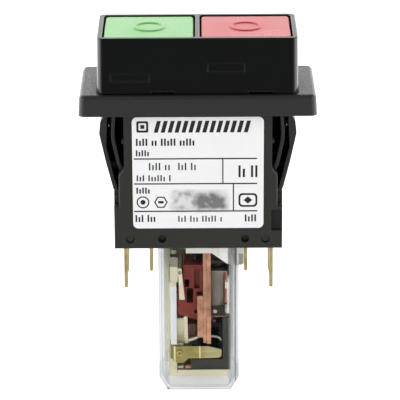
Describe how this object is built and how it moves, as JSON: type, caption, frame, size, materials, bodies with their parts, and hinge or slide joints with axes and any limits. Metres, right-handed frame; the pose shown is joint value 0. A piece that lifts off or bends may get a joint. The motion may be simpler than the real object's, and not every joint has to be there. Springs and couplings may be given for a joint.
{
  "type": "push-button control relay",
  "caption": "Snap-in panel breaker with green and red push buttons in a black collar, blade terminals and a clear trip relay below.",
  "frame": {"origin": "centre of the panel cut-out in the plane of the panel's front face, on which the bezel's underside rests", "axes": "+Z out of the panel towards the user, +X to the right of the rating label, +Y away from the rating label, so the label faces -Y"},
  "size_m": [0.055, 0.025, 0.0885],
  "materials": {
    "black_satin_plastic": "fine spark texture",
    "black_gloss_plastic": "gloss",
    "charcoal_plastic": "satin",
    "green_plastic": "satin gloss",
    "red_plastic": "satin gloss",
    "label_film": "satin printed film",
    "spring_steel": "drawn wire",
    "steel": "bright",
    "tinned_brass": "dull, lightly brushed",
    "brass": "brushed",
    "silver": "satin",
    "copper": "brushed copper",
    "copper_wire": "enamelled copper wire",
    "clear_plastic": "clear polycarbonate",
    "clear_sheet": "thin clear sheet",
    "white_plastic": "moulded, satin",
    "cream_plastic": "moulded, satin",
    "brick_plastic": "moulded phenolic",
    "brown_plastic": "moulded phenolic",
    "black_inner_plastic": "moulded, satin",
    "grey_tape": "polyester tape",
    "dark_steel": "blackened steel",
    "latch_grey": "moulded, satin"
  },
  "bodies": {
    "housing": {"bezel_frame": "black_satin_plastic", "button_collar": "black_gloss_plastic", "button_guide": "black_inner_plastic", "on_return_spring": "spring_steel", "off_return_spring": "spring_steel", "front_housing": "charcoal_plastic", "rear_housing": "charcoal_plastic", "rating_label": "label_film", "housing_rivets": "dark_steel", "line_tab_left": "tinned_brass", "line_tab_right": "tinned_brass", "load_tab_left": "tinned_brass", "load_tab_right": "tinned_brass", "coil_tabs": "tinned_brass", "terminal_base": "charcoal_plastic", "fixed_contacts": "silver", "carrier_spring": "spring_steel", "relay_cover": "clear_plastic", "top_bracket": "white_plastic", "cover_latch": "latch_grey", "relay_frame": "cream_plastic", "side_spacer": "white_plastic", "clear_insulator": "clear_sheet", "head_block": "black_inner_plastic", "adjuster_block": "steel", "setting_screw": "steel", "magnet_yoke": "dark_steel", "coil_bobbin": "black_inner_plastic", "coil_winding": "copper_wire", "coil_tape": "grey_tape", "coil_core": "steel", "start_pin": "silver", "armature_spring": "spring_steel", "lever_pin": "steel", "pawl_pin": "steel", "stop_block": "brown_plastic", "lever_spring": "spring_steel", "heater_strip": "copper", "short_bimetal": "copper", "blade_bracket": "brass", "blade_rivet": "brass", "copper_contact": "copper", "contact_chamber": "black_inner_plastic"},
    "on_cap": {"on_button": "green_plastic"},
    "contact_slider": {"contact_carrier": "white_plastic", "contact_bridges": "brass", "moving_contacts": "silver", "bridge_springs": "spring_steel"},
    "off_cap": {"off_button": "red_plastic"},
    "trip_rod": {"trip_slider": "white_plastic"},
    "trip_arm": {"trip_lever": "brick_plastic", "link_hook": "cream_plastic"},
    "pawl": {"latch_pawl": "cream_plastic"},
    "signal_blade": {"contact_blade": "brass", "silver_contact": "silver"},
    "armature_flap": {"armature": "dark_steel"},
    "bimetal": {"long_bimetal": "copper"},
    "left_wing": {"left_snap_wing": "charcoal_plastic"},
    "right_wing": {"right_snap_wing": "charcoal_plastic"}
  },
  "joints": [
    {"name": "on_press", "type": "slide", "parent": "housing", "child": "on_cap", "axis": [0, 0, -1], "range_m": [0, 0.003], "stiffness_N_per_m": 500, "springref_m": -0.003, "deforming": ["on_return_spring"]},
    {"name": "contact_slide", "type": "slide", "parent": "housing", "child": "contact_slider", "axis": [0, 0, -1], "range_m": [0, 0.003], "deforming": ["carrier_spring"]},
    {"name": "off_press", "type": "slide", "parent": "housing", "child": "off_cap", "axis": [0, 0, -1], "range_m": [0, 0.003], "stiffness_N_per_m": 500, "springref_m": -0.003, "deforming": ["off_return_spring"]},
    {"name": "rod_slide", "type": "slide", "parent": "housing", "child": "trip_rod", "axis": [0, 0, -1], "range_m": [0, 0.003]},
    {"name": "trip_turn", "type": "hinge", "parent": "housing", "child": "trip_arm", "pos_m": [-0.001, 0, -0.0424], "axis": [0, -1, 0], "range_deg": [0, 4]},
    {"name": "pawl_turn", "type": "hinge", "parent": "housing", "child": "pawl", "pos_m": [-0.0045, 0, -0.0412], "axis": [0, 1, 0], "range_deg": [0, 3]},
    {"name": "blade_tilt", "type": "hinge", "parent": "housing", "child": "signal_blade", "pos_m": [-0.00465, 0, -0.0614], "axis": [0, -1, 0], "range_deg": [0, 1.75]},
    {"name": "armature_pull", "type": "hinge", "parent": "housing", "child": "armature_flap", "pos_m": [0.0065, 0, -0.0399], "axis": [0, -1, 0], "range_deg": [0, 6], "stiffness_Nm_per_rad": 0.002, "springref_deg": -20.05, "deforming": ["armature_spring"]},
    {"name": "bimetal_bend", "type": "hinge", "parent": "housing", "child": "bimetal", "pos_m": [0.00238, 0, -0.0347], "axis": [0, -1, 0], "range_deg": [0, 1.2], "stiffness_Nm_per_rad": 0.05, "springref_deg": -1.15},
    {"name": "left_wing_flex", "type": "hinge", "parent": "housing", "child": "left_wing", "pos_m": [-0.0191, 0, -0.0196], "axis": [0, 1, 0], "range_deg": [0, 3], "stiffness_Nm_per_rad": 1.5, "springref_deg": -1.15},
    {"name": "right_wing_flex", "type": "hinge", "parent": "housing", "child": "right_wing", "pos_m": [0.0191, 0, -0.0196], "axis": [0, -1, 0], "range_deg": [0, 3], "stiffness_Nm_per_rad": 1.5, "springref_deg": -1.15}
  ],
  "couplings": [
    {"joint": "contact_slide", "follows": "on_press", "ratio": 1},
    {"joint": "rod_slide", "follows": "off_press", "ratio": 1},
    {"joint": "trip_turn", "follows": "off_press", "rad_per_m": 23.269},
    {"joint": "pawl_turn", "follows": "off_press", "rad_per_m": 17.452},
    {"joint": "blade_tilt", "follows": "off_press", "rad_per_m": 10.18}
  ]
}
